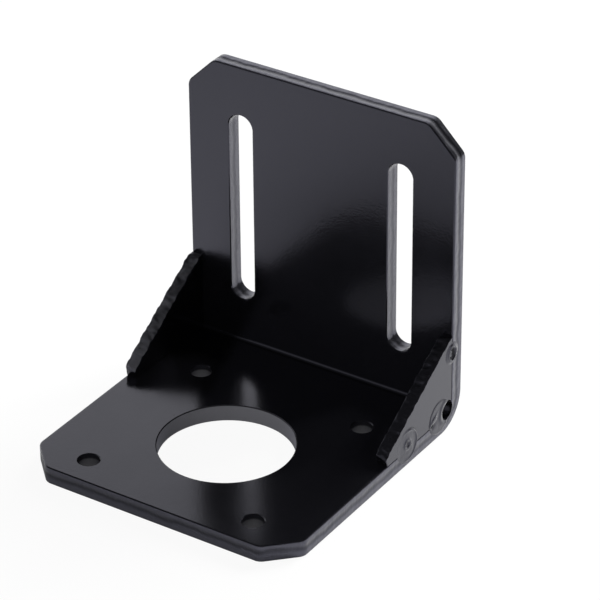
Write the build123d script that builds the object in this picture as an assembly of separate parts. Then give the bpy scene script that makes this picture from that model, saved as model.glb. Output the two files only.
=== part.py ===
from build123d import *
from math import isclose
import os

# Motor mounting bracket for a NEMA 17 size stepper motor, in black coated steel.
# One sheet is folded into an L: the motor plate lies flat and the slotted plate
# stands up at its back. A thin triangular gusset closes each side of the corner,
# held by three weld tacks on its outer face. Both gussets are the same blank, not
# a mirrored pair, so the sloping edge that was cut on a slant leans the same way.
#
# Frame, in millimetres: the origin is on the axis of the motor bore, at the
# underside that the bracket rests on. X runs along the fold, Y from the front
# edge towards the upright plate, Z up.

# Sheet and overall sizes
SHEET = 3.0                  # thickness of the folded sheet
WIDTH = 50.0                 # along the fold
FRONT_REACH = 20.8           # bore axis to the front edge
BACK_REACH = 30.2            # bore axis to the outer face of the upright plate
HEIGHT = 53.5                # underside to the top edge of the upright plate
CORNER_CUT = 5.0             # legs of the cut on each free corner
CORNER_SOFTENING = 2.0       # radius where a corner cut meets the straight edges
EDGE_ROUNDING = 0.3          # tumbled and coated edges of the sheet's outline
RIM_BREAK = 0.15             # sharp edge taken off round the bore, the holes and the slots

# Fold
INNER_BEND_RADIUS = 0.6
BEND_THINNING = 2.2          # extra outer radius, where the fold has stretched the sheet

# Motor mount: pilot bore and screw square
BORE_RADIUS = 11.05
SCREW_SPACING = 31.0
SCREW_HOLE_RADIUS = 1.75

# Adjustment slots in the upright plate
SLOT_SPACING = 30.0
SLOT_WIDTH = 4.5
SLOT_LENGTH = 34.0           # over the round ends
SLOT_CENTRE_HEIGHT = 27.9    # above the underside

# Gussets
GUSSET_THICKNESS = 2.0
GUSSET_LENGTH = 19.6         # along the motor plate, from the inner face of the upright
GUSSET_HEIGHT = 13.8         # up the inner face of the upright, from the motor plate
GUSSET_NOSE = 1.7            # blunt end on the motor plate
GUSSET_NOSE_ROUNDING = 0.5   # where the blunt end meets the sloping edge
GUSSET_CUT_SLANT = 0.5       # how much higher the sloping edge stands on the blank's left face
GUSSET_TIP = 0.6             # blunt end against the upright
GUSSET_EDGE_BREAK = 0.25     # tumbled edges of the free sides
RELIEF_RADIUS = 1.65         # round relief that clears the inside of the fold
RELIEF_OFFSET_Y = 1.35       # relief centre, in front of the inner face of the upright
RELIEF_OFFSET_Z = 0.85       # relief centre, above the motor plate

# Weld tacks on the outer faces, as nuggets sunk into both pieces
TACK_DEPTH = 0.8             # how far a nugget reaches into the steel
TACK_SHOULDER = 0.35         # sloping edge of the pool
TACK_RISE = 0.12             # how far the pool stands proud of the side
CRATER_SLOPE = 0.4           # each slope of a crater's rim, across the pool
CRATER_CREST = 0.25          # how far the rim stands proud of the side
CRATER_FLOOR = 0.05          # how far the floor stands proud of the side
UPPER_TACK_RADIUS = 1.9
UPPER_CRATER_RADIUS = 1.25   # to the crest of the rim
UPPER_TACK_SETBACK = 0.15    # centre in front of the joint with the upright
UPPER_TACK_HEIGHT = 10.9     # above the motor plate
LOWER_TACK_RADIUS = 3.0
LOWER_CRATER_RADIUS = 0.9
LOWER_TACK_SETBACK = 13.4    # in front of the upright, on the joint with the motor plate
LOWER_TACK_RISE = 0.8        # centre above the joint line
CORNER_TACK_RADIUS = 3.0
CORNER_TACK_SETBACK = 3.8    # in front of the upright
CORNER_TACK_RISE = 0.8       # centre above the joint line

# Places that follow from the sizes above
INNER_FACE_Y = BACK_REACH - SHEET
OUTER_BEND_RADIUS = INNER_BEND_RADIUS + SHEET + BEND_THINNING
HALF_WIDTH = WIDTH / 2
SIDES = {"left": -1, "right": 1}
TOUCHING = 0.01              # nearer than this to a face counts as on it


def folded_sheet():
    """The L-shaped sheet with its cut corners, before any hole."""
    profile = make_face(
        Polyline(
            (-FRONT_REACH, 0),
            (BACK_REACH, 0),
            (BACK_REACH, HEIGHT),
            (INNER_FACE_Y, HEIGHT),
            (INNER_FACE_Y, SHEET),
            (-FRONT_REACH, SHEET),
            close=True,
        )
    )
    outer_corner = profile.vertices().sort_by_distance((BACK_REACH, 0))[0]
    profile = fillet(outer_corner, OUTER_BEND_RADIUS)
    inner_corner = profile.vertices().sort_by_distance((INNER_FACE_Y, SHEET))[0]
    profile = fillet(inner_corner, INNER_BEND_RADIUS)
    sheet = extrude(Plane.YZ * profile, HALF_WIDTH, both=True)
    front_corners = sheet.edges().filter_by(Axis.Z).group_by(Axis.Y)[0]
    top_corners = sheet.edges().filter_by(Axis.Y).group_by(Axis.Z)[-1]
    sheet = chamfer(front_corners + top_corners, CORNER_CUT)
    return fillet(through_edges(sheet.edges()), CORNER_SOFTENING)


def through_edges(edges):
    """The straight edges that run through the thickness of the sheet."""
    return edges.filter_by(lambda e: e.geom_type == GeomType.LINE and isclose(e.length, SHEET))


def outline_edges(edges):
    """Every edge between a broad face of the sheet and a cut face of its outline."""
    through = through_edges(edges)
    fold_lines = edges.filter_by(Axis.X).filter_by(lambda e: isclose(e.length, WIDTH))
    return edges - through - fold_lines


def motor_openings():
    """Pilot bore and the four screw holes of the motor plate."""
    bore = extrude(Circle(BORE_RADIUS), SHEET)
    screw_hole = extrude(Circle(SCREW_HOLE_RADIUS), SHEET)
    holes = [place * screw_hole for place in GridLocations(SCREW_SPACING, SCREW_SPACING, 2, 2)]
    return [bore, *holes]


def slot_openings():
    """The two upright slots, cut from the inner face through to the outer face."""
    outline = SlotOverall(SLOT_LENGTH, SLOT_WIDTH, rotation=90)
    face = Plane(origin=(0, INNER_FACE_Y, SLOT_CENTRE_HEIGHT), x_dir=(-1, 0, 0), z_dir=(0, 1, 0))
    places = GridLocations(SLOT_SPACING, 0, 2, 1)
    return [face * place * extrude(outline, SHEET) for place in places]


def opening_rims(sheet):
    """The rim of every bore, hole and slot, on both broad faces of each plate."""
    wires = [wire for face in sheet.faces() for wire in face.inner_wires()]
    return ShapeList(edge for wire in wires for edge in wire.edges())


def corner_relief():
    """The round relief at the foot of each gusset, as a bar through each end of the corner."""
    y = INNER_FACE_Y - RELIEF_OFFSET_Y
    z = SHEET + RELIEF_OFFSET_Z
    bars = []
    for side in SIDES.values():
        start = Plane(origin=(side * (HALF_WIDTH + CRATER_CREST), y, z), z_dir=(-side, 0, 0))
        bars.append(start * extrude(Circle(RELIEF_RADIUS), CRATER_CREST + GUSSET_THICKNESS))
    return bars


def tack(side, y, z, radius, crater_radius=None):
    """A weld nugget on one outer face: a low pool, with or without a crater, tapering into the steel."""
    outline = [(0, -TACK_DEPTH), (radius - TACK_DEPTH, -TACK_DEPTH), (radius, 0), (radius - TACK_SHOULDER, TACK_RISE)]
    if crater_radius is None:
        outline += [(0, TACK_RISE)]
    else:
        outline += [
            (crater_radius + CRATER_SLOPE, TACK_RISE),
            (crater_radius, CRATER_CREST),
            (crater_radius - CRATER_SLOPE, CRATER_FLOOR),
            (0, CRATER_FLOOR),
        ]
    section = Plane.XZ * make_face(Polyline(*outline, close=True))
    outward = Plane(origin=(side * HALF_WIDTH, y, z), z_dir=(side, 0, 0))
    return outward * revolve(section, Axis.Z)


def gusset_tacks(side):
    """The three tacks that hold one gusset."""
    upper_y = INNER_FACE_Y - UPPER_TACK_SETBACK
    upper_z = SHEET + UPPER_TACK_HEIGHT
    corner_y = INNER_FACE_Y - CORNER_TACK_SETBACK
    corner_z = SHEET + CORNER_TACK_RISE
    lower_y = INNER_FACE_Y - LOWER_TACK_SETBACK
    lower_z = SHEET + LOWER_TACK_RISE
    tacks = [
        tack(side, upper_y, upper_z, UPPER_TACK_RADIUS, UPPER_CRATER_RADIUS),
        tack(side, corner_y, corner_z, CORNER_TACK_RADIUS),
        tack(side, lower_y, lower_z, LOWER_TACK_RADIUS, LOWER_CRATER_RADIUS),
    ]
    return [nugget - corner_relief() for nugget in tacks]


def gusset_outline(x, lift):
    """The triangle with blunt ends at one face of the blank, its sloping edge raised by lift."""
    nose_y = INNER_FACE_Y - GUSSET_LENGTH
    nose_z = SHEET + GUSSET_NOSE
    top_z = SHEET + GUSSET_HEIGHT
    tip_y = INNER_FACE_Y - GUSSET_TIP
    slope = (top_z - nose_z) / (tip_y - nose_y)
    return Plane.YZ.offset(x) * make_face(
        Polyline(
            (nose_y, SHEET),
            (INNER_FACE_Y, SHEET),
            (INNER_FACE_Y, top_z),
            (tip_y - lift / slope, top_z),
            (nose_y, nose_z + lift),
            close=True,
        )
    )


def gusset_blank(side):
    """One gusset, its outer face flush with the sheet's side. Its sloping edge is higher on the left face."""
    left_x = HALF_WIDTH - GUSSET_THICKNESS if side > 0 else -HALF_WIDTH
    faces = [gusset_outline(left_x, GUSSET_CUT_SLANT), gusset_outline(left_x + GUSSET_THICKNESS, 0)]
    blank = loft(faces, ruled=True)
    nose = blank.edges().filter_by(lambda e: e.center().Z > SHEET + TOUCHING).group_by(Axis.Y)[0]
    blank = fillet(nose.filter_by(lambda e: abs((e @ 1 - e @ 0).X) > TOUCHING), GUSSET_NOSE_ROUNDING)
    free = blank.edges().filter_by(lambda e: e.center().Y < INNER_FACE_Y - TOUCHING)
    free = free.filter_by(lambda e: e.center().Z > SHEET + TOUCHING)
    return chamfer(free, GUSSET_EDGE_BREAK)


def main():
    os.makedirs("parts", exist_ok=True)
    sheet = folded_sheet()
    sheet = fillet(outline_edges(sheet.edges()), EDGE_ROUNDING)
    for opening in motor_openings() + slot_openings():
        sheet -= opening
    sheet = chamfer(opening_rims(sheet), RIM_BREAK)
    sheet -= corner_relief()
    for name, side in SIDES.items():
        tacks = gusset_tacks(side)
        plate = gusset_blank(side) - corner_relief() - tacks
        sheet -= tacks
        export_step(plate, f"parts/{name}_gusset.step")
        export_step(Compound(children=tacks), f"parts/{name}_gusset_tacks.step")
    export_step(sheet, "parts/bent_plate.step")


main()
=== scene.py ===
import math

import bmesh
import bpy
from mathutils import Matrix, Vector, noise


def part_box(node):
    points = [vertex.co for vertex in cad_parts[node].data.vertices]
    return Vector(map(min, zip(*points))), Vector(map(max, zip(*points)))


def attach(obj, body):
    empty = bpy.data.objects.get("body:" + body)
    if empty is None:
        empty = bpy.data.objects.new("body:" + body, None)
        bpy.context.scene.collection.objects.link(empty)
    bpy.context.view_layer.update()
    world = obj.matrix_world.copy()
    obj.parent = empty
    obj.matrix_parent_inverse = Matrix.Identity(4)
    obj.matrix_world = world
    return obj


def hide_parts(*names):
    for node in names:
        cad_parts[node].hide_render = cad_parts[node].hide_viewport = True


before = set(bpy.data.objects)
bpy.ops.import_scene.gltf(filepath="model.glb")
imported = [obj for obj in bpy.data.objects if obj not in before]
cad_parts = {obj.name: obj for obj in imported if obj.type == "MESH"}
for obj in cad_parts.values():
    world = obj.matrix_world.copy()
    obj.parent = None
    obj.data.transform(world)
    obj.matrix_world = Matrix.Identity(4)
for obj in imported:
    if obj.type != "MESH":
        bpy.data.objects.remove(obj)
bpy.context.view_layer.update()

# Motor mounting bracket for a size 17 stepper motor: folded 3 mm steel with a
# welded gusset at each side, under a thin semi-gloss black coat. The folded sheet
# is the frame's own piece. The gussets and their weld tacks are built again here,
# with the nibbled edges that a shear leaves and the soft shapes that a torch leaves.

MM = 0.001


def linear(hex_colour):
    """An sRGB hex colour as the linear RGBA that the shader works in."""
    parts = [int(hex_colour[i:i + 2], 16) / 255 for i in (1, 3, 5)]
    return tuple(c / 12.92 if c <= 0.04045 else ((c + 0.055) / 1.055) ** 2.4 for c in parts) + (1.0,)


def add(tree, kind, settings=None, inputs=None):
    """Adds one node with its settings. An input is linked where it gets a node or a socket, or else set."""
    node = tree.nodes.new(kind)
    for name, value in (settings or {}).items():
        setattr(node, name, value)
    for name, value in (inputs or {}).items():
        if isinstance(value, bpy.types.Node):
            value = value.outputs[0]
        if isinstance(value, bpy.types.NodeSocket):
            tree.links.new(value, node.inputs[name])
        else:
            node.inputs[name].default_value = value
    return node


# The sockets of a Mix node that mixes colours: both inputs, and the result
FIRST = 6
SECOND = 7
MIXED = 2


# ---------------------------------------------------------------- places, from the frame

PLATE_LOW, PLATE_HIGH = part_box("bent_plate")
GUSSET_LOW, GUSSET_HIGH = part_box("right_gusset")
SEAT_Z = GUSSET_LOW[2]                     # top of the motor plate
INNER_Y = GUSSET_HIGH[1]                   # inner face of the upright plate
SIDE_X = PLATE_HIGH[0]
GUSSET_THICKNESS = GUSSET_HIGH[0] - GUSSET_LOW[0]
OUTER_BEND = 5.8 * MM                      # outer radius of the fold
BEND_Y = PLATE_HIGH[1] - OUTER_BEND
BEND_Z = PLATE_LOW[2] + OUTER_BEND

# The round relief at the foot of each gusset, as in the solids
RELIEF_RADIUS = 1.65 * MM
RELIEF_Y = INNER_Y - 1.35 * MM
RELIEF_Z = SEAT_Z + 0.85 * MM


# ---------------------------------------------------------------- pieces and their unevenness

ONE_FACE_WITHIN = math.radians(50)         # faces that meet at less than this are shaded as one


def finished_piece(name, mesh, material, replaced):
    """Turns a bmesh into a smooth-shaded piece of the bracket that stands for the replaced nodes."""
    for face in mesh.faces:
        face.smooth = True
    data = bpy.data.meshes.new(name)
    mesh.to_mesh(data)
    mesh.free()
    data.set_sharp_from_angle(angle=ONE_FACE_WITHIN)
    data.materials.append(material)
    piece = bpy.data.objects.new(name, data)
    bpy.context.scene.collection.objects.link(piece)
    shading = piece.modifiers.new("flat_faces_stay_flat", "WEIGHTED_NORMAL")
    shading.keep_sharp = True
    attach(piece, "root")
    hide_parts(*replaced)
    return piece


def uneven(along, across, pattern):
    """A smooth random value from about -1 to 1. A pattern is its waves to the mm, along and across, and
    the layer of the noise that it is cut from."""
    return noise.noise(Vector((along * pattern[0], across * pattern[1], pattern[2])))


# ---------------------------------------------------------------- gussets

# Shape, near the solids, with the brow of the blunt end worn rounder
NOSE = 1.7 * MM                            # height of the blunt end on the motor plate
NOSE_UNDERCUT = 0.35 * MM                  # how far the foot of the blunt end lies behind its brow
NOSE_ROUNDING = 1.1 * MM
TIP = 0.6 * MM                             # width of the blunt end against the upright
TIP_ROUNDING = 1.9 * MM                    # where the sloping edge runs out against the upright
CUT_SLANT = 0.5 * MM                       # how much higher the sloping edge is on the left face
FREE_ROUNDING = 0.16 * MM                  # worn edges of the free sides
JOINT_ROUNDING = 0.10 * MM                 # and of the sides that are welded

# Points on each run of the outline, clockwise from the foot of the nose
STEPS = {
    "nose": 8, "brow": 5, "slope": 130, "tip": 8, "top": 3,
    "back": 30, "open_relief": 32, "filled_relief": 8, "seat": 40,
}

# Rings of the rim, from the left face through the thickness, closer together near both faces
RIM_STEPS = (0.0, 0.12, 0.35, 0.75, 1.4, 2.3, 3.5, 4.7, 5.6, 6.25, 6.65, 6.88, 7.0)

# The nibbled edge, in mm
BITE = 3.85                                # from one bite of the shear to the next
TOOTH = 0.08                               # half the height of the tooth between two bites
WORN = 0.05                                # how far the whole edge has worn back
DRIFT = 0.5                                # how far a bite may lie from its place, in bites
LUMP = 0.14
CHIP = 0.22
DRIFT_PATTERN = (0.2, 0.3, 17.0)
LUMP_PATTERN = (0.9, 0.8, 3.0)
CHIP_PATTERN = (1.4, 1.1, 11.0)
PATTERN_THROUGH = 2                        # mm across these patterns, from one face to the other
PATTERN_APART = 7                          # mm across them, from their middle to each gusset's part
FADE_POINTS = 12                           # points over which the nibbling fades at both ends


def shear_wave(along, across):
    """How far the nibbled edge stands out, in mm: one bite after another, with small lumps on each."""
    drift = DRIFT * uneven(along, across, DRIFT_PATTERN)
    tooth = TOOTH * math.sin(2 * math.pi * (along / BITE + drift)) - WORN
    lump = LUMP * uneven(along, across, LUMP_PATTERN)
    return tooth + lump + CHIP * uneven(along, across, CHIP_PATTERN)


def line_points(start, end, count):
    """Points from start up to, but not including, end."""
    return [Vector(start).lerp(Vector(end), i / count) for i in range(count)]


def arc_points(centre, radius, first, last, count):
    """Points round an arc, from the angle first up to, but not including, last."""
    angles = [first + (last - first) * i / count for i in range(count)]
    return [Vector((centre[0] + radius * math.cos(a), centre[1] + radius * math.sin(a))) for a in angles]


def gusset_outline(lift, open_relief):
    """The outline at one face, as (y, z) points in metres, and how many of them are on its free side."""
    top_z = GUSSET_HIGH[2]
    nose_y = GUSSET_LOW[1]
    nose_z = SEAT_Z + NOSE + lift
    slope = (top_z - SEAT_Z - NOSE) / (INNER_Y - TIP - nose_y)
    lean = math.atan(slope)
    square = math.pi / 2

    heel = (nose_y + NOSE_UNDERCUT, SEAT_Z)
    brow_off = NOSE_ROUNDING * math.tan((square - lean) / 2)
    brow_start = (nose_y, nose_z - brow_off)
    brow_centre = (nose_y + NOSE_ROUNDING, nose_z - brow_off)
    slope_start = (nose_y + brow_off * math.cos(lean), nose_z + brow_off * math.sin(lean))

    tip_y = INNER_Y - TIP - lift / slope
    tip_off = TIP_ROUNDING * math.tan(lean / 2)
    slope_end = (tip_y - tip_off * math.cos(lean), top_z - tip_off * math.sin(lean))
    tip_centre = (tip_y + tip_off, top_z - TIP_ROUNDING)
    top_start = (tip_y + tip_off, top_z)
    top_end = (INNER_Y, top_z)

    head = math.sqrt(RELIEF_RADIUS ** 2 - (INNER_Y - RELIEF_Y) ** 2)
    foot = math.sqrt(RELIEF_RADIUS ** 2 - (RELIEF_Z - SEAT_Z) ** 2)
    relief_start = (INNER_Y, RELIEF_Z + head)
    relief_end = (RELIEF_Y - foot, SEAT_Z)

    free = line_points(heel, brow_start, STEPS["nose"])
    free += arc_points(brow_centre, NOSE_ROUNDING, math.pi, square + lean, STEPS["brow"])
    free += line_points(slope_start, slope_end, STEPS["slope"])
    free += arc_points(tip_centre, TIP_ROUNDING, square + lean, square, STEPS["tip"])
    free += line_points(top_start, top_end, STEPS["top"])
    joined = line_points(top_end, relief_start, STEPS["back"])
    if open_relief:
        first = math.atan2(head, INNER_Y - RELIEF_Y)
        last = math.atan2(SEAT_Z - RELIEF_Z, -foot) % (2 * math.pi)
        joined += arc_points((RELIEF_Y, RELIEF_Z), RELIEF_RADIUS, first, last, STEPS["open_relief"])
    else:
        corner = (INNER_Y, SEAT_Z)
        joined += line_points(relief_start, corner, STEPS["filled_relief"])
        joined += line_points(corner, relief_end, STEPS["filled_relief"])
    joined += line_points(relief_end, heel, STEPS["seat"])
    return free + joined, len(free)


def outward(points):
    """The outward direction at each point of a closed outline that runs clockwise."""
    ways = []
    for i in range(len(points)):
        run = points[(i + 1) % len(points)] - points[i - 1]
        ways.append(Vector((-run.y, run.x)).normalized())
    return ways


def gusset_piece(name, side):
    """One gusset: two flat faces and a sheared rim between them, with its edges worn round. Weld metal
    has run through the relief of the left one and closed it."""
    left_x = SIDE_X - GUSSET_THICKNESS if side > 0 else -SIDE_X
    left, free = gusset_outline(CUT_SLANT, side > 0)
    right, free = gusset_outline(0.0, side > 0)
    ways = outward(left)
    count = len(left)
    mesh = bmesh.new()
    rings = []
    for step in RIM_STEPS:
        depth = step / RIM_STEPS[-1]
        x = left_x + GUSSET_THICKNESS * depth
        near = min(depth, 1 - depth) * GUSSET_THICKNESS
        ring = []
        along = 0.0
        for i, way in enumerate(ways):
            rounding = FREE_ROUNDING if i < free else JOINT_ROUNDING
            out = 0.0
            if near < rounding:
                out = math.sqrt(rounding ** 2 - (rounding - near) ** 2) - rounding
            if i < free:
                ease = min(1.0, i / FADE_POINTS, (free - i) / FADE_POINTS)
                out += ease * shear_wave(along, depth * PATTERN_THROUGH + PATTERN_APART * side) * MM
            spot = left[i].lerp(right[i], depth) + way * out
            ring.append(mesh.verts.new((x, spot.x, spot.y)))
            along += (left[(i + 1) % count] - left[i]).length / MM
        rings.append(ring)
    for low, high in zip(rings, rings[1:]):
        for i in range(count):
            j = (i + 1) % count
            mesh.faces.new((low[i], low[j], high[j], high[i]))
    mesh.faces.new(list(reversed(rings[0])))
    mesh.faces.new(rings[-1])
    bmesh.ops.recalc_face_normals(mesh, faces=mesh.faces)
    return finished_piece(name, mesh, GUSSET_COATS[side], [name.replace("_plate", "")])


# ---------------------------------------------------------------- weld tacks

# Each tack's place in mm, in front of the upright and above the motor plate, and radius, as in the solids
TACKS = {
    "upper": {"back": 0.15, "up": 10.9, "radius": 1.9},
    "corner": {"back": 3.8, "up": 0.8, "radius": 3.0},
    "lower": {"back": 13.4, "up": 0.8, "radius": 3.0},
}
SPREAD = 0.06                              # mm, how much wider a soft pool is than the solid one
SKIRT = 0.3 * MM                           # how far a tack's skirt goes under the side
PROUD = 0.004                              # mm, the least that a pool stands above the side
TALLEST = 0.245                            # mm, just inside the 0.25 that the solid tacks reach
RIPPLE = 0.012                             # mm
RIPPLE_WAVES = 1.6                         # to the mm
CALM_RIM = 0.3                             # mm at the pool's edge where the ripples fade
RING_PATTERN = (0.9, 0.9, 5.0)
CIRCLES = 44
SPOKES = 144
MIDDLE = 0.01                              # mm, radius of the smallest circle
DRILL_SIDES = 96
DRILL_LENGTH = 4 * MM


def hump(distance, centre, width):
    """A smooth hump, 1 at the centre."""
    return math.exp(-((distance - centre) / width) ** 2)


def mound(y, z, centre, width):
    """A smooth mound, 1 at the centre, with its own width each way."""
    return math.exp(-((y - centre[0]) / width[0]) ** 2 - ((z - centre[1]) / width[1]) ** 2)


def eased(value):
    """0 below 0, 1 above 1, smooth between."""
    value = min(1.0, max(0.0, value))
    return value * value * (3 - 2 * value)


# The three shapes below are in mm. They take a place from the tack's middle, y towards the upright and z
# up, and how far it is from the pool's edge. They give the pool's height there, and how much painted
# shade it gets, from 0 to 1.


def upper_tack_shape(y, z, edge):
    """A small pool with a ring round a crater that is a little taller than wide."""
    off_middle = math.hypot(y / 0.93, z / 1.12) + 0.07 * uneven(y, z, RING_PATTERN)
    pool = 0.10 * eased(edge / 0.45)
    ring = 0.14 * hump(off_middle, 1.16, 0.26)
    crater_wall = eased((off_middle - 0.70) / 0.42)
    # painted shade in the crater
    weld_shade = 1 - eased((off_middle - 0.68) / 0.35)
    return crater_wall * (pool + ring), weld_shade


def lower_tack_shape(y, z, edge):
    """A wide flat pool with a raised rim on one side and a small ring above its middle."""
    off_middle = math.hypot(y + 0.05, z - 0.25)
    flat = 0.09 * eased(edge / 0.4) * eased(0.75 + y / 3)
    rim = 0.11 * hump(edge, 0.42, 0.2) * eased(0.5 + y / 2.6)
    dip = 0.05 * mound(y, z, (1.9, -0.9), (0.5, 1.4))
    crater_wall = eased((off_middle - 0.25) / 0.35)
    ring = 0.12 * crater_wall * hump(off_middle, 0.80, 0.24)
    # painted shade in the crater and along part of the pool's edge
    weld_shade_crater = 0.8 * (1 - eased(off_middle / 0.6))
    weld_shade_edge = 0.55 * hump(edge, 0.12, 0.16) * eased(y / 2.0)
    return max(0.0, flat + rim - dip) * crater_wall + ring, weld_shade_crater + weld_shade_edge


def corner_tack_shape(y, z, edge):
    """A pool run up against the relief hole, with a lip round the hole, a ridge and a pinhole. The ridge
    climbs towards the upright, and its upper flank is the steeper one."""
    hole_y = (RELIEF_Y - INNER_Y) / MM + TACKS["corner"]["back"]
    hole_z = (RELIEF_Z - SEAT_Z) / MM - TACKS["corner"]["up"]
    off_hole = math.hypot(y - hole_y, z - hole_z) - RELIEF_RADIUS / MM
    above_ridge = z - 0.5 - 0.57 * (y + 1.9)
    flank = 0.3 if above_ridge > 0 else 0.7
    pool = 0.09 * eased(edge / 0.35)
    lip = 0.13 * hump(off_hole, 0.55, 0.42)
    ridge = 0.18 * mound(y, above_ridge, (-1.8, 0.0), (0.95, flank))
    trough = 0.08 * mound(y, above_ridge, (-1.7, -1.2), (0.9, 0.45))
    pinhole = 0.25 * mound(y, z, (-2.1, -0.6), (0.42, 0.32))
    # painted shade along the pool's upper edge, and in the pinhole
    weld_shade_edge = 0.4 * hump(edge, 0.1, 0.14) * eased(z + 0.5)
    return max(0.0, pool + lip + ridge - trough - pinhole), 5 * pinhole + weld_shade_edge


def tack_mesh(side, tack, shape):
    """One tack, as a round patch of soft relief on the side, with a skirt that goes under it."""
    centre_y = INNER_Y - tack["back"] * MM
    centre_z = SEAT_Z + tack["up"] * MM
    radius = tack["radius"] + SPREAD
    ripple_pattern = (RIPPLE_WAVES, RIPPLE_WAVES, 20 + 5 * side)
    mesh = bmesh.new()
    weld_shade_layer = mesh.verts.layers.float.new("weld_shade")
    rings = []
    for i in range(CIRCLES + 1):
        r = max(radius * i / CIRCLES, MIDDLE)
        edge = radius - r
        ring = []
        for k in range(SPOKES):
            angle = 2 * math.pi * k / SPOKES
            y = r * math.cos(angle)
            z = r * math.sin(angle)
            # the shape also gives how much painted shade the coat gets there
            height, weld_shade = shape(y, z, edge)
            ripple = RIPPLE * uneven(y, z, ripple_pattern) * eased(edge / CALM_RIM)
            rise = min(height + ripple + PROUD, TALLEST)
            vert = mesh.verts.new((side * (SIDE_X + rise * MM), centre_y + y * MM, centre_z + z * MM))
            vert[weld_shade_layer] = weld_shade
            ring.append(vert)
        rings.append(ring)
    skirt = [mesh.verts.new((side * (SIDE_X - SKIRT), vert.co.y, vert.co.z)) for vert in rings[-1]]
    rings.append(skirt)
    mesh.faces.new(rings[0])
    for low, high in zip(rings, rings[1:]):
        for k in range(SPOKES):
            j = (k + 1) % SPOKES
            mesh.faces.new((low[k], high[k], high[j], low[j]))
    mesh.faces.new(skirt)
    bmesh.ops.recalc_face_normals(mesh, faces=mesh.faces)
    return mesh


def without_relief(mesh, side):
    """The mesh with the round relief hole cut through it."""
    body = bpy.data.meshes.new("pool")
    mesh.to_mesh(body)
    mesh.free()
    pool = bpy.data.objects.new("pool", body)
    place = Matrix.Translation((side * SIDE_X, RELIEF_Y, RELIEF_Z))
    cutter = bmesh.new()
    bmesh.ops.create_cone(
        cutter, cap_ends=True, segments=DRILL_SIDES, depth=DRILL_LENGTH,
        radius1=RELIEF_RADIUS, radius2=RELIEF_RADIUS,
        matrix=place @ Matrix.Rotation(math.pi / 2, 4, "Y"),
    )
    bar = bpy.data.meshes.new("bar")
    cutter.to_mesh(bar)
    cutter.free()
    drill = bpy.data.objects.new("drill", bar)
    for thing in (pool, drill):
        bpy.context.scene.collection.objects.link(thing)
    cut = pool.modifiers.new("cut", "BOOLEAN")
    cut.operation = "DIFFERENCE"
    cut.solver = "EXACT"
    cut.object = drill
    bpy.context.view_layer.update()
    graph = bpy.context.evaluated_depsgraph_get()
    whole = bpy.data.meshes.new_from_object(pool.evaluated_get(graph))
    result = bmesh.new()
    result.from_mesh(whole)
    for thing in (pool, drill):
        bpy.data.objects.remove(thing)
    return result


TACK_SHAPES = {"upper": upper_tack_shape, "corner": corner_tack_shape, "lower": lower_tack_shape}


# ---------------------------------------------------------------- enamel on the sheet and the gussets

COAT_IOR = 1.58                            # baked epoxy enamel, filled with carbon black
COOL_BLACK = (0.79, 0.79, 1.0, 1.0)        # the coat's mirror image is a little bluer than the room

# Colours
BLACK_COLOUR = linear("#09090b")
# near black: painted shade in the shear groove, on slanting cuts and up the gussets, and darker random
# patches
CLOUD_COLOUR = linear("#111114")
SHADE_AND_PATCH_COLOUR = linear("#0c0c0e")
CUT_COLOUR = linear("#606065")             # light grey and dull on the left gusset's sheared edge
RIGHT_CUT_COLOUR = linear("#121215")           # and near black, less dull, on the right one's
BLANKED_COLOUR = linear("#484850")         # fuller and glossier on the blanked outline of the sheet
PUNCHED_COLOUR = linear("#444449")         # thin again on the walls of the slots
BORE_PAINTED_LIGHT_COLOUR = linear("#96969c")            # and paler still in the bore, as painted light for the bright table that the bore's wall mirrors
DEEP_HOLE_COLOUR = linear("#88888c")       # hardly any deep in the screw holes

# Roughness, in the same order
SMOOTHEST = 0.13
DULLEST = 0.18
CUT_ROUGHNESS = 0.42
RIGHT_CUT_ROUGHNESS = 0.30
BLANKED_ROUGHNESS = 0.32
PUNCHED_ROUGHNESS = 0.22
BORE_ROUGHNESS = 0.3
HOLE_ROUGHNESS = 0.5

# Patterns on the broad faces: how wide they are, and how high in mm
PEEL_WIDTH = 0.9 * MM
PEEL_HEIGHT = 0.004
GRAIN_WIDTH = 0.3 * MM                     # drawn coarser than the coat's own grain, so that it shows
GRAIN_HEIGHT = 0.005
NIB_SPACING = 5 * MM
NIB_REACH = 0.03                           # in spacings
NIB_HEIGHT = 0.012
CLOUD_WIDTH = 9 * MM

# Patterns on the cut edges: how wide they are, and how high in mm
STREAK_WIDTH = 0.7 * MM
STREAK_HEIGHT = 0.05
STREAK_STRETCH = 0.85                      # how far the streaks are drawn out through the thickness
LUMP_WIDTH = 2.2 * MM
LUMP_HEIGHT = 0.14
GROOVE_HEIGHT = 0.12
GROOVE_LOWEST = 1.2 * MM                   # the groove wanders between these depths from the outer face
GROOVE_HIGHEST = 2.2 * MM
GROOVE_WANDER = 4 * MM
GROOVE_FLOOR = 0.05 * MM                   # from the groove's middle to the edge of its floor
GROOVE_REACH = 0.75 * MM                   # and to the top of its sides
PUNCHED_CALM = 0.4                         # share of this relief that punched walls have

# Which way a face looks
CUT_FACING = 0.35                          # cosine, up to which a face is a cut edge
BROAD_FACING = 0.8                         # and from which it is a broad face
SLOPE_FACING = (0.1, 0.5)                  # upward part from which a gusset's edge counts, and fully
SLANT_FACING = (0.15, 0.45)                # sideways times upward part from which painted shade starts, and where it is full

# Where the openings lie, in the sheet and from the axis of the bore
OPENINGS_REACH = SIDE_X - 6.5 * MM
OPENINGS_FRONT = PLATE_LOW[1] + MM
OPENINGS_TOP = PLATE_HIGH[2] - 2 * MM
BORE_REACH = 13 * MM
HOLES_REACH = 25.5 * MM                    # the slots lie further out
MOUTH_STARTS = 1.9 * MM                    # depth at which the black mouth of a screw hole starts
MOUTH_FULL = 2.3 * MM

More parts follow.
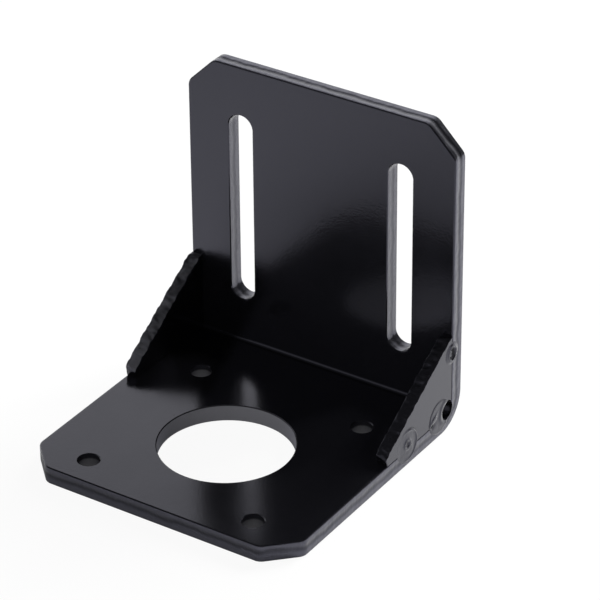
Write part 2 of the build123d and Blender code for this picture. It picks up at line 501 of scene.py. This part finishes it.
BORE_SHOWS = 0.35                          # share of bare steel that shows through in the bore
SLANT_SHADE = 0.95                            # how dark the painted shade is on the upright's slanting cuts
SLANT_SHADE_ABOVE = GUSSET_HIGH[2] - 10 * MM  # the upright's cuts are above this
LUMPS_COATED = (0.35, 0.75)                # hollows that get the darkest patches and shade, and lumps that get none
CLOUDS_SEEN = (0.3, 0.7)                   # the smoothest and the dullest clouds


def sheet_form(tree, place, facing):
    """Depth into the folded sheet from its outer face, the direction of its thickness, and 1 on a cut
    edge, 0 elsewhere."""
    from_bend = add(
        tree, "ShaderNodeVectorMath", {"operation": "SUBTRACT"},
        {0: place, 1: (0, BEND_Y, BEND_Z)},
    )
    flat = add(tree, "ShaderNodeVectorMath", {"operation": "MULTIPLY"}, {0: from_bend, 1: (0, 1, 1)})
    above = add(tree, "ShaderNodeVectorMath", {"operation": "MAXIMUM"}, {0: flat, 1: (0, 0, -1)})
    toward = add(tree, "ShaderNodeVectorMath", {"operation": "MINIMUM"}, {0: above, 1: (0, 1, 0)})
    reach = add(tree, "ShaderNodeVectorMath", {"operation": "LENGTH"}, {0: toward}).outputs["Value"]
    through = add(tree, "ShaderNodeVectorMath", {"operation": "NORMALIZE"}, {0: toward})
    depth = add(tree, "ShaderNodeMath", {"operation": "SUBTRACT"}, {0: OUTER_BEND, 1: reach})
    return depth, through, cut_edge(tree, through, facing)


def gusset_form(tree, place, facing):
    """The same for a gusset, whose thickness runs along X. Only its sloping edge counts as cut."""
    across = add(tree, "ShaderNodeSeparateXYZ", None, {0: place})
    offset = add(tree, "ShaderNodeMath", {"operation": "ABSOLUTE"}, {0: across})
    depth = add(tree, "ShaderNodeMath", {"operation": "SUBTRACT"}, {0: SIDE_X, 1: offset})
    through = add(tree, "ShaderNodeCombineXYZ", None, {"X": 1.0})
    rising = add(tree, "ShaderNodeSeparateXYZ", None, {0: facing}).outputs["Z"]
    sloping = add(
        tree, "ShaderNodeMapRange", None,
        {"Value": rising, "From Min": SLOPE_FACING[0], "From Max": SLOPE_FACING[1]},
    )
    rim = cut_edge(tree, through, facing)
    cut = add(tree, "ShaderNodeMath", {"operation": "MULTIPLY"}, {0: rim, 1: sloping})
    return depth, through, cut


def cut_edge(tree, through, facing):
    """1 where a face runs through the thickness, 0 on the broad faces."""
    same = add(tree, "ShaderNodeVectorMath", {"operation": "DOT_PRODUCT"}, {0: through, 1: facing})
    size = add(tree, "ShaderNodeMath", {"operation": "ABSOLUTE"}, {0: same.outputs["Value"]})
    return add(
        tree, "ShaderNodeMapRange", {"interpolation_type": "SMOOTHSTEP"},
        {"Value": size, "From Min": CUT_FACING, "From Max": BROAD_FACING, "To Min": 1.0, "To Max": 0.0},
    )


def in_openings(tree, place):
    """1 well inside the sheet's outline, where a cut wall belongs to the bore, a hole or a slot."""
    parts = add(tree, "ShaderNodeSeparateXYZ", None, {0: place}).outputs
    across = add(tree, "ShaderNodeMath", {"operation": "ABSOLUTE"}, {0: parts["X"]})
    narrow = add(tree, "ShaderNodeMath", {"operation": "LESS_THAN"}, {0: across, 1: OPENINGS_REACH})
    low = add(tree, "ShaderNodeMath", {"operation": "LESS_THAN"}, {0: parts["Z"], 1: OPENINGS_TOP})
    behind = add(
        tree, "ShaderNodeMath", {"operation": "GREATER_THAN"},
        {0: parts["Y"], 1: OPENINGS_FRONT},
    )
    both = add(tree, "ShaderNodeMath", {"operation": "MULTIPLY"}, {0: narrow, 1: low})
    return add(tree, "ShaderNodeMath", {"operation": "MULTIPLY"}, {0: both, 1: behind})


def off_bore_axis(tree, place):
    """How far a point is from the axis of the motor bore."""
    flat = add(tree, "ShaderNodeVectorMath", {"operation": "MULTIPLY"}, {0: place, 1: (1, 1, 0)})
    return add(tree, "ShaderNodeVectorMath", {"operation": "LENGTH"}, {0: flat}).outputs["Value"]


def face_height(tree, place):
    """Height of the coat on a broad face, in mm: faint orange peel, fine grain and a few dust nibs."""
    peel = add(
        tree, "ShaderNodeTexNoise", None,
        {"Vector": place, "Scale": 1 / PEEL_WIDTH, "Detail": 1.0},
    )
    grain = add(
        tree, "ShaderNodeTexNoise", None,
        {"Vector": place, "Scale": 1 / GRAIN_WIDTH, "Detail": 0.0},
    )
    cells = add(tree, "ShaderNodeTexVoronoi", None, {"Vector": place, "Scale": 1 / NIB_SPACING})
    nibs = add(
        tree, "ShaderNodeMapRange", {"interpolation_type": "SMOOTHSTEP"},
        {
            "Value": cells.outputs["Distance"], "From Min": 0.0, "From Max": NIB_REACH,
            "To Min": NIB_HEIGHT, "To Max": 0.0,
        },
    )
    grainy = add(
        tree, "ShaderNodeMath", {"operation": "MULTIPLY_ADD"},
        {0: grain, 1: GRAIN_HEIGHT, 2: nibs},
    )
    return add(
        tree, "ShaderNodeMath", {"operation": "MULTIPLY_ADD"},
        {0: peel, 1: PEEL_HEIGHT, 2: grainy},
    )


def drawn_through(tree, place, through):
    """The place squashed along the thickness, so that a pattern on it is drawn out that way."""
    run = add(tree, "ShaderNodeVectorMath", {"operation": "DOT_PRODUCT"}, {0: place, 1: through})
    most = add(
        tree, "ShaderNodeMath", {"operation": "MULTIPLY"},
        {0: run.outputs["Value"], 1: -STREAK_STRETCH},
    )
    squash = add(tree, "ShaderNodeVectorMath", {"operation": "SCALE"}, {0: through, "Scale": most})
    return add(tree, "ShaderNodeVectorMath", {"operation": "ADD"}, {0: place, 1: squash})


def shear_groove(tree, depth, drawn, groove_share, outside):
    """The groove where the shear's burnish ends and the break begins: groove_share in its middle, 0 off
    it, and 0 on the walls of the bore and the screw holes. It gives the groove's relief and its painted
    shade."""
    wander = add(
        tree, "ShaderNodeTexNoise", None,
        {"Vector": drawn, "Scale": 1 / GROOVE_WANDER, "Detail": 2.0},
    )
    middle = add(
        tree, "ShaderNodeMapRange", None,
        {"Value": wander, "To Min": GROOVE_LOWEST, "To Max": GROOVE_HIGHEST},
    )
    off_middle = add(tree, "ShaderNodeMath", {"operation": "SUBTRACT"}, {0: depth, 1: middle})
    gap = add(tree, "ShaderNodeMath", {"operation": "ABSOLUTE"}, {0: off_middle})
    groove = add(
        tree, "ShaderNodeMapRange", {"interpolation_type": "SMOOTHSTEP"},
        {
            "Value": gap, "From Min": GROOVE_FLOOR, "From Max": GROOVE_REACH,
            "To Min": groove_share, "To Max": 0.0,
        },
    )
    return add(tree, "ShaderNodeMath", {"operation": "MULTIPLY"}, {0: groove, 1: outside})


def edge_height(tree, drawn, lumps, groove, hole):
    """Height of a cut edge, in mm: streaks through the thickness, lumps and the groove. A punched wall
    has less of each."""
    streaks = add(
        tree, "ShaderNodeTexNoise", None,
        {"Vector": drawn, "Scale": 1 / STREAK_WIDTH, "Detail": 2.0},
    )
    streaked = add(tree, "ShaderNodeMath", {"operation": "MULTIPLY"}, {0: streaks, 1: STREAK_HEIGHT})
    lumpy = add(
        tree, "ShaderNodeMath", {"operation": "MULTIPLY_ADD"},
        {0: lumps, 1: LUMP_HEIGHT, 2: streaked},
    )
    grooved = add(
        tree, "ShaderNodeMath", {"operation": "MULTIPLY_ADD"},
        {0: groove, 1: -GROOVE_HEIGHT, 2: lumpy},
    )
    calm = add(tree, "ShaderNodeMapRange", None, {"Value": hole, "To Min": 1.0, "To Max": PUNCHED_CALM})
    return add(tree, "ShaderNodeMath", {"operation": "MULTIPLY"}, {0: grooved, 1: calm})


def slant_shade(tree, place, facing):
    """How much painted shade a cut gets by its direction, where it slants both sideways and up or down:
    on the cut corners of the upright, and on the slanting parts of the slots' round ends."""
    ways = add(tree, "ShaderNodeSeparateXYZ", None, {0: facing}).outputs
    slant = add(tree, "ShaderNodeMath", {"operation": "MULTIPLY"}, {0: ways["X"], 1: ways["Z"]})
    slant_size = add(tree, "ShaderNodeMath", {"operation": "ABSOLUTE"}, {0: slant})
    sideways = add(
        tree, "ShaderNodeMapRange", {"interpolation_type": "SMOOTHSTEP"},
        {
            "Value": slant_size, "From Min": SLANT_FACING[0], "From Max": SLANT_FACING[1],
            "To Min": 0.0, "To Max": SLANT_SHADE,
        },
    )
    rise = add(tree, "ShaderNodeSeparateXYZ", None, {0: place}).outputs["Z"]
    upright = add(tree, "ShaderNodeMath", {"operation": "GREATER_THAN"}, {0: rise, 1: SLANT_SHADE_ABOVE})
    return add(tree, "ShaderNodeMath", {"operation": "MULTIPLY"}, {0: sideways, 1: upright})


def patches_and_painted_shade(tree, place, lumps, patch_and_shade_share):
    """How much darker a gusset's cut is drawn: random patches in its hollows, and painted shade that grows
    with the height up the gusset, towards the upright.
    """
    rise = add(tree, "ShaderNodeSeparateXYZ", None, {0: place}).outputs["Z"]
    shade_up_gusset = add(
        tree, "ShaderNodeMapRange", None,
        {
            "Value": rise, "From Min": SEAT_Z, "From Max": GUSSET_HIGH[2],
            "To Min": 0.0, "To Max": 2 * patch_and_shade_share,
        },
    )
    return add(
        tree, "ShaderNodeMapRange", {"interpolation_type": "SMOOTHSTEP"},
        {
            "Value": lumps, "From Min": LUMPS_COATED[0], "From Max": LUMPS_COATED[1],
            "To Min": shade_up_gusset, "To Max": 0.0,
        },
    )


def enamel(name, form, groove_share, patch_and_shade_share, cut_colour, cut_roughness):
    """Black baked enamel. The broad faces are smooth rolled steel under it, and mirror the room softly,
    with a faint orange peel, slow clouds in the gloss and a few dust nibs. The cut edges are sheared
    steel: the enamel lies thin, dull and a little grey on them, in streaks through the thickness, with
    a groove in the middle that is darkened as painted shade; painted shade also darkens slanting cuts
    on the upright and the gussets' cuts towards their tops. It is thinnest in the bore and the screw
    holes, where grey steel shows, and the bore's wall is drawn paler still, as painted light."""
    material = bpy.data.materials.new(name)
    material.use_nodes = True
    tree = material.node_tree
    tree.nodes.clear()
    place = add(tree, "ShaderNodeTexCoord").outputs["Object"]
    facing = add(tree, "ShaderNodeNewGeometry").outputs["Normal"]
    depth, through, cut = form(tree, place, facing)

    # which opening a wall belongs to
    hole = in_openings(tree, place)
    off_axis = off_bore_axis(tree, place)
    in_bore = add(tree, "ShaderNodeMath", {"operation": "LESS_THAN"}, {0: off_axis, 1: BORE_REACH})
    in_plate = add(tree, "ShaderNodeMath", {"operation": "LESS_THAN"}, {0: off_axis, 1: HOLES_REACH})
    inside = add(tree, "ShaderNodeMath", {"operation": "MULTIPLY"}, {0: in_plate, 1: hole})
    outside = add(tree, "ShaderNodeMath", {"operation": "SUBTRACT"}, {0: 1.0, 1: inside})

    # relief
    drawn = drawn_through(tree, place, through)
    lumps = add(
        tree, "ShaderNodeTexNoise", None,
        {"Vector": place, "Scale": 1 / LUMP_WIDTH, "Detail": 2.0},
    )
    groove = shear_groove(tree, depth, drawn, groove_share, outside)
    on_faces = face_height(tree, place)
    on_edges = edge_height(tree, drawn, lumps, groove, hole)
    height = add(tree, "ShaderNodeMix", None, {"Factor": cut, "A": on_faces, "B": on_edges})
    bump = add(tree, "ShaderNodeBump", None, {"Strength": 1.0, "Distance": MM, "Height": height})

    # colour of the openings' walls: in the screw holes the coat is black near the mouth only
    mouth = add(
        tree, "ShaderNodeMapRange", {"interpolation_type": "SMOOTHSTEP"},
        {"Value": depth, "From Min": MOUTH_STARTS, "From Max": MOUTH_FULL},
    )
    hole_colour = add(
        tree, "ShaderNodeMix", {"data_type": "RGBA"},
        {"Factor": mouth, FIRST: DEEP_HOLE_COLOUR, SECOND: BLACK_COLOUR},
    ).outputs[MIXED]
    wall_colour = add(
        tree, "ShaderNodeMix", {"data_type": "RGBA"},
        {"Factor": in_plate, FIRST: PUNCHED_COLOUR, SECOND: hole_colour},
    ).outputs[MIXED]
    # paler in the bore: painted light
    wall_colour = add(
        tree, "ShaderNodeMix", {"data_type": "RGBA"},
        {"Factor": in_bore, FIRST: wall_colour, SECOND: BORE_PAINTED_LIGHT_COLOUR},
    ).outputs[MIXED]

    # colour of all cut edges, darkened with painted shade in the groove, on slanting cuts and up the
    # gussets, and in random patches
    edge_colour = add(
        tree, "ShaderNodeMix", {"data_type": "RGBA"},
        {"Factor": hole, FIRST: cut_colour, SECOND: wall_colour},
    ).outputs[MIXED]
    slant_shaded = slant_shade(tree, place, facing)
    patch_and_shade = patches_and_painted_shade(tree, place, lumps, patch_and_shade_share)
    for dark in (slant_shaded, patch_and_shade, groove):
        edge_colour = add(
            tree, "ShaderNodeMix", {"data_type": "RGBA"},
            {"Factor": dark, FIRST: edge_colour, SECOND: SHADE_AND_PATCH_COLOUR},
        ).outputs[MIXED]

    # colour of the broad faces, and of everything
    clouds = add(
        tree, "ShaderNodeTexNoise", None,
        {"Vector": place, "Scale": 1 / CLOUD_WIDTH, "Detail": 5.0, "Roughness": 0.65},
    )
    face_colour = add(
        tree, "ShaderNodeMix", {"data_type": "RGBA"},
        {"Factor": clouds, FIRST: BLACK_COLOUR, SECOND: CLOUD_COLOUR},
    ).outputs[MIXED]
    colour = add(
        tree, "ShaderNodeMix", {"data_type": "RGBA"},
        {"Factor": cut, FIRST: face_colour, SECOND: edge_colour},
    ).outputs[MIXED]

    # gloss
    face_roughness = add(
        tree, "ShaderNodeMapRange", None,
        {
            "Value": clouds, "From Min": CLOUDS_SEEN[0], "From Max": CLOUDS_SEEN[1],
            "To Min": SMOOTHEST, "To Max": DULLEST,
        },
    )
    hole_roughness = add(
        tree, "ShaderNodeMix", None,
        {"Factor": in_bore, "A": HOLE_ROUGHNESS, "B": BORE_ROUGHNESS},
    )
    wall_roughness = add(
        tree, "ShaderNodeMix", None,
        {"Factor": in_plate, "A": PUNCHED_ROUGHNESS, "B": hole_roughness},
    )
    edge_roughness = add(
        tree, "ShaderNodeMix", None,
        {"Factor": hole, "A": cut_roughness, "B": wall_roughness},
    )
    roughness = add(
        tree, "ShaderNodeMix", None,
        {"Factor": cut, "A": face_roughness, "B": edge_roughness},
    )

    # bare steel, below the mouth of the screw holes and through the coat in the bore
    wall_only = add(tree, "ShaderNodeMath", {"operation": "MULTIPLY"}, {0: inside, 1: cut})
    below_mouth = add(tree, "ShaderNodeMapRange", None, {"Value": mouth, "To Min": 1.0, "To Max": 0.0})
    thinness = add(tree, "ShaderNodeMix", None, {"Factor": in_bore, "A": below_mouth, "B": BORE_SHOWS})
    bare = add(tree, "ShaderNodeMath", {"operation": "MULTIPLY"}, {0: wall_only, 1: thinness})
    coat = add(
        tree, "ShaderNodeBsdfPrincipled", None,
        {
            "Base Color": colour,
            "Metallic": bare,
            "IOR": COAT_IOR,
            "Roughness": roughness,
            "Specular Tint": COOL_BLACK,
            "Normal": bump,
        },
    )
    add(tree, "ShaderNodeOutputMaterial", None, {"Surface": coat})
    return material


# ---------------------------------------------------------------- enamel on the weld tacks

WELD_RIPPLE_WIDTH = 0.8 * MM
WELD_RIPPLE_HEIGHT = 0.03                  # mm
SOOT_WIDTH = 1.5 * MM
WELD_SMOOTHEST = 0.12
WELD_DULLEST = 0.3
WELD_SHADE_ROUGHNESS = 0.6
WELD_SHINE = 0.5                           # specular level on the pools
WELD_SHADE_SHINE = 0.12                         # and where the tacks get painted shade: craters, pinhole, pools' edges


def weld_enamel():
    """Black baked enamel over weld tacks: the metal has melted and set, so the coat lies on soft ripples
    and is a little duller than on the rolled faces. In the craters, the pinhole and along parts of the
    pools' edges the coat is drawn matt, with a weaker mirror image, as painted shade."""
    material = bpy.data.materials.new("black_enamel_on_weld")
    material.use_nodes = True
    tree = material.node_tree
    tree.nodes.clear()
    place = add(tree, "ShaderNodeTexCoord").outputs["Object"]
    ripples = add(
        tree, "ShaderNodeTexNoise", None,
        {"Vector": place, "Scale": 1 / WELD_RIPPLE_WIDTH, "Detail": 2.0},
    )
    height = add(tree, "ShaderNodeMath", {"operation": "MULTIPLY"}, {0: ripples, 1: WELD_RIPPLE_HEIGHT})
    bump = add(tree, "ShaderNodeBump", None, {"Strength": 1.0, "Distance": MM, "Height": height})
    soot = add(
        tree, "ShaderNodeTexNoise", None,
        {"Vector": place, "Scale": 1 / SOOT_WIDTH, "Detail": 3.0},
    )
    pool_roughness = add(
        tree, "ShaderNodeMapRange", None,
        {"Value": soot, "To Min": WELD_SMOOTHEST, "To Max": WELD_DULLEST},
    )
    # painted shade: the coat is matt there and its mirror image weaker
    weld_shade = add(tree, "ShaderNodeAttribute", {"attribute_name": "weld_shade"}).outputs["Fac"]
    roughness = add(
        tree, "ShaderNodeMix", None,
        {"Factor": weld_shade, "A": pool_roughness, "B": WELD_SHADE_ROUGHNESS},
    )
    shine = add(
        tree, "ShaderNodeMapRange", None,
        {"Value": weld_shade, "To Min": WELD_SHINE, "To Max": WELD_SHADE_SHINE},
    )
    coat = add(
        tree, "ShaderNodeBsdfPrincipled", None,
        {
            "Specular IOR Level": shine,
            "Base Color": CLOUD_COLOUR,
            "Metallic": 0.0,
            "IOR": COAT_IOR,
            "Roughness": roughness,
            "Specular Tint": COOL_BLACK,
            "Normal": bump,
        },
    )
    add(tree, "ShaderNodeOutputMaterial", None, {"Surface": coat})
    return material


# ---------------------------------------------------------------- the bracket

SHEET_GROOVE = 0.8                         # the sheet's outline shows the groove and its painted shade, the gussets don't
GUSSET_PATCHES_AND_SHADE = 0.45                      # the gussets' cuts get darker patches and painted shade up their height, the sheet's don't

SHEET_COAT = enamel(
    "black_enamel_on_rolled_sheet", sheet_form, SHEET_GROOVE, 0.0,
    BLANKED_COLOUR, BLANKED_ROUGHNESS,
)
GUSSET_COATS = {
    -1: enamel(
        "black_enamel_on_sheared_gusset", gusset_form, 0.0, GUSSET_PATCHES_AND_SHADE,
        CUT_COLOUR, CUT_ROUGHNESS,
    ),
    # the right gusset's cut is drawn near black, the left one's light grey
    1: enamel(
        "thick_black_enamel_on_sheared_gusset", gusset_form, 0.0, GUSSET_PATCHES_AND_SHADE,
        RIGHT_CUT_COLOUR, RIGHT_CUT_ROUGHNESS,
    ),
}
TACK_COAT = weld_enamel()

for node_name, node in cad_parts.items():
    node.data.materials.clear()
    node.data.materials.append(SHEET_COAT if node_name == "bent_plate" else TACK_COAT)

for side_name, side in (("left", -1), ("right", 1)):
    gusset_piece(f"{side_name}_gusset_plate", side)
    for place_name, tack in TACKS.items():
        mesh = tack_mesh(side, tack, TACK_SHAPES[place_name])
        if place_name == "corner" and side > 0:
            mesh = without_relief(mesh, side)
        finished_piece(
            f"{side_name}_{place_name}_tack", mesh, TACK_COAT, [f"{side_name}_gusset_tacks"],
        )


# ---------------------------------------------------------------- stage and light

FLOOR_DROP = 0.02 * MM             # keeps the floor's face clear of the underside
FLOOR_SIZE = 3.0
TABLE_WHITE = linear("#f4f4f4")
WALL_MIDDLE = Vector((-0.45, 0.80, 0.40)).normalized()
WALL_STARTS = 0.45                 # cosine of the angle from the bright wall's middle
WALL_FULL = 0.85
WALL_GLOW = 1.22
LEFT_FULL = -0.3                   # sideways part of a direction, up to which the glow is the left one
RIGHT_FULL = 0.4                   # and from which it is the right one
LEFT_GLOW = 0.45
RIGHT_GLOW = 0.12
CEILING_STARTS = 0.53              # sine of the elevation
CEILING_FULL = 0.70
CEILING_GLOW = 0.08
WALLS_ON_TABLE = 0.5               # share of the walls' glow that lights matt things, such as the table
SEEN_WHITE = 0.94                  # share of the floor that is plain white to the eye, over its shadow
MIRRORED_WHITE = 0.17              # the same in the mirror image that the coat gives
LAMP_SIZE = 0.5


def pale_studio():
    """Pale walls all round, brightest behind on the left, and a dark ceiling. The eye sees plain white."""
    world = bpy.data.worlds.new("pale_studio")
    bpy.context.scene.world = world
    world.use_nodes = True
    tree = world.node_tree
    tree.nodes.clear()
    direction = add(tree, "ShaderNodeTexCoord").outputs["Generated"]
    parts = add(tree, "ShaderNodeSeparateXYZ", None, {0: direction}).outputs
    near_wall = add(
        tree, "ShaderNodeVectorMath", {"operation": "DOT_PRODUCT"},
        {0: direction, 1: WALL_MIDDLE},
    )
    bright_wall = add(
        tree, "ShaderNodeMapRange", {"interpolation_type": "SMOOTHSTEP"},
        {"Value": near_wall.outputs["Value"], "From Min": WALL_STARTS, "From Max": WALL_FULL},
    )
    other_walls = add(
        tree, "ShaderNodeMapRange", {"interpolation_type": "SMOOTHSTEP"},
        {
            "Value": parts["X"], "From Min": LEFT_FULL, "From Max": RIGHT_FULL,
            "To Min": LEFT_GLOW, "To Max": RIGHT_GLOW,
        },
    )
    walls = add(tree, "ShaderNodeMix", None, {"Factor": bright_wall, "A": other_walls, "B": WALL_GLOW})
    ceiling = add(
        tree, "ShaderNodeMapRange", {"interpolation_type": "SMOOTHSTEP"},
        {"Value": parts["Z"], "From Min": CEILING_STARTS, "From Max": CEILING_FULL},
    )
    room = add(tree, "ShaderNodeMix", None, {"Factor": ceiling, "A": walls, "B": CEILING_GLOW})
    path = add(tree, "ShaderNodeLightPath").outputs
    share = add(
        tree, "ShaderNodeMapRange", None,
        {"Value": path["Is Glossy Ray"], "To Min": WALLS_ON_TABLE},
    )
    falling = add(tree, "ShaderNodeMath", {"operation": "MULTIPLY"}, {0: room, 1: share})
    strength = add(tree, "ShaderNodeMix", None, {"Factor": path["Is Camera Ray"], "A": falling, "B": 1.0})
    light = add(tree, "ShaderNodeBackground", None, {"Color": (1, 1, 1, 1), "Strength": strength})
    add(tree, "ShaderNodeOutputWorld", None, {"Surface": light})


def white_floor():
    """A white table under the bracket. The eye sees it near white, with the shadow kept faint."""
    bpy.ops.mesh.primitive_plane_add(size=FLOOR_SIZE, location=(0, 0, -FLOOR_DROP))
    floor = bpy.context.active_object
    floor.name = "floor"
    material = bpy.data.materials.new("white_table")
    material.use_nodes = True
    tree = material.node_tree
    tree.nodes.clear()
    card = add(tree, "ShaderNodeBsdfDiffuse", None, {"Color": TABLE_WHITE})
    white = add(tree, "ShaderNodeEmission", None, {"Color": (1, 1, 1, 1), "Strength": 1.0})
    path = add(tree, "ShaderNodeLightPath").outputs
    seen = add(
        tree, "ShaderNodeMath", {"operation": "MULTIPLY"},
        {0: path["Is Camera Ray"], 1: SEEN_WHITE},
    )
    share = add(
        tree, "ShaderNodeMath", {"operation": "MULTIPLY_ADD"},
        {0: path["Is Glossy Ray"], 1: MIRRORED_WHITE, 2: seen},
    )
    mix = add(tree, "ShaderNodeMixShader", None, {0: share, 1: card, 2: white})
    add(tree, "ShaderNodeOutputMaterial", None, {"Surface": mix})
    floor.data.materials.append(material)


def soft_lamp(name, place, power):
    """A large soft lamp that shines at the bracket and isn't itself mirrored in the coat."""
    lamp = bpy.data.objects.new(name, bpy.data.lights.new(name, "AREA"))
    bpy.context.scene.collection.objects.link(lamp)
    lamp.data.size = LAMP_SIZE
    lamp.data.energy = power
    lamp.location = place
    lamp.rotation_mode = "QUATERNION"
    lamp.rotation_quaternion = Vector(place).to_track_quat("Z", "Y")
    lamp.visible_glossy = False


pale_studio()
white_floor()
soft_lamp("back_lamp", place=(0.17, 0.90, 0.64), power=27.0)
soft_lamp("front_lamp", place=(0.20, -0.95, 0.25), power=2.0)


# ---------------------------------------------------------------- camera

LENS = 203.796                     # mm
SENSOR = 36.0                      # mm
AZIMUTH = math.radians(33.38)      # from straight in front, towards the right
ELEVATION = math.radians(31.04)
ROLL = math.radians(-0.422)
AIM = Vector((9.733, 6.645, 29.128)) * MM
DISTANCE = 522.4 * MM


def bracket_camera():
    """A long lens that looks down at the bracket from the right of its front."""
    camera = bpy.data.objects.new("camera", bpy.data.cameras.new("camera"))
    bpy.context.scene.collection.objects.link(camera)
    camera.data.lens = LENS
    camera.data.sensor_width = SENSOR
    camera.data.clip_start = 0.01
    camera.data.clip_end = 10.0
    back = Vector((
        math.sin(AZIMUTH) * math.cos(ELEVATION),
        -math.cos(AZIMUTH) * math.cos(ELEVATION),
        math.sin(ELEVATION),
    ))
    turn = back.to_track_quat("Z", "Y").to_matrix() @ Matrix.Rotation(ROLL, 3, "Z")
    camera.matrix_world = Matrix.Translation(AIM + back * DISTANCE) @ turn.to_4x4()
    bpy.context.scene.camera = camera


bracket_camera()
bpy.context.scene.view_settings.view_transform = "Standard"
